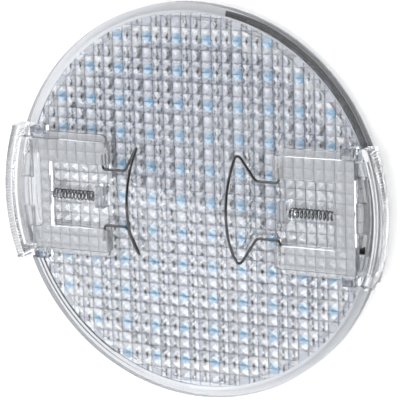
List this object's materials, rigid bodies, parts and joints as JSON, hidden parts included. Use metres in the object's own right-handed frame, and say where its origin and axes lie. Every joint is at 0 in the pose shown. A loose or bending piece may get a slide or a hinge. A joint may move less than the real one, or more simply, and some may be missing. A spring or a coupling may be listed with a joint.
{
  "type": "white balance lens cap",
  "caption": "Round clear clip-on lens cap with a prismatic diffusing face, sprung pinch latches on opposite sides and hinged wire finger bows, for setting a camera's white balance.",
  "frame": {"origin": "centre of the cap, on the plane of the rear face that it lies on", "axes": "+Z out of the prismatic front, +X through the right latch, +Y up the face"},
  "size_m": [0.083, 0.08, 0.0133],
  "materials": {
    "clear_plastic": "clear moulded, polished",
    "prism_plastic": "clear moulded, sharp facets",
    "filter_sheet": "clear sheet with a print of small pale blue dots",
    "opal_plastic": "opal, satin",
    "spring_steel": "drawn wire",
    "wire_steel": "bright drawn wire"
  },
  "bodies": {
    "body": {"body_ring": "clear_plastic", "prism_window": "prism_plastic", "colour_filter": "filter_sheet", "rear_diffuser": "opal_plastic", "left_spring": "spring_steel", "right_spring": "spring_steel"},
    "left_latch": {"left_latch": "clear_plastic"},
    "right_latch": {"right_latch": "clear_plastic"},
    "left_wire": {"left_pinch_wire": "wire_steel"},
    "right_wire": {"right_pinch_wire": "wire_steel"}
  },
  "joints": [
    {"name": "left_latch_slide", "type": "slide", "parent": "body", "child": "left_latch", "axis": [1, 0, 0], "range_m": [0, 0.0018], "stiffness_N_per_m": 400, "springref_m": -0.0025, "deforming": ["left_spring"]},
    {"name": "right_latch_slide", "type": "slide", "parent": "body", "child": "right_latch", "axis": [-1, 0, 0], "range_m": [0, 0.0018], "stiffness_N_per_m": 400, "springref_m": -0.0025, "deforming": ["right_spring"]},
    {"name": "left_wire_hinge", "type": "hinge", "parent": "left_latch", "child": "left_wire", "pos_m": [-0.01935, 0, 0.0067], "axis": [0, -1, 0], "range_deg": [0, 90]},
    {"name": "right_wire_hinge", "type": "hinge", "parent": "right_latch", "child": "right_wire", "pos_m": [0.01935, 0, 0.0067], "axis": [0, 1, 0], "range_deg": [0, 90]}
  ]
}
